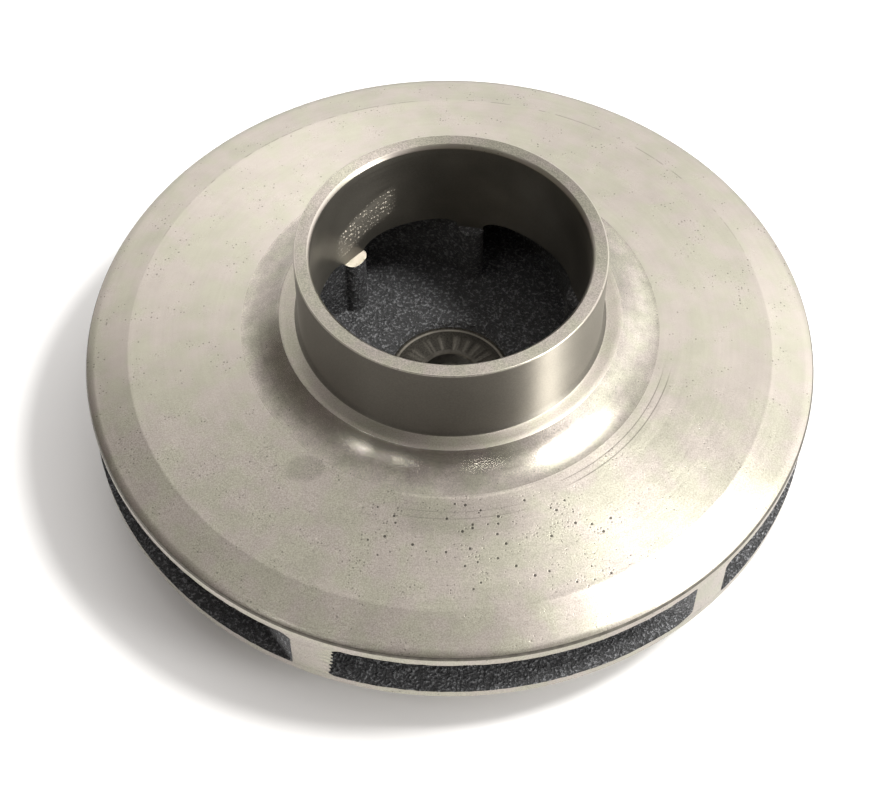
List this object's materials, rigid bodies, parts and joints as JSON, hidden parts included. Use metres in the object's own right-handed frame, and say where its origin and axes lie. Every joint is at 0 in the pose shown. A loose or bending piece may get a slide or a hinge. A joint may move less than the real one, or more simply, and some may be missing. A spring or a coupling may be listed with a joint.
{
  "type": "closed radial pump impeller",
  "caption": "Closed centrifugal pump impeller casting with a turned suction eye, a conical front shroud, backward-curved vanes and a rear hub with a keyed shaft socket.",
  "frame": {"origin": "centre of the rear hub's face, which the impeller stands on", "axes": "+Z along the axis of rotation, towards the suction eye; +Y through the middle of the keyway"},
  "size_m": [0.21, 0.21, 0.0779],
  "materials": {
    "turned_cast_metal": "turned, with a rough as-cast inside"
  },
  "bodies": {
    "root": {"impeller_casting": "turned_cast_metal"}
  },
  "joints": []
}
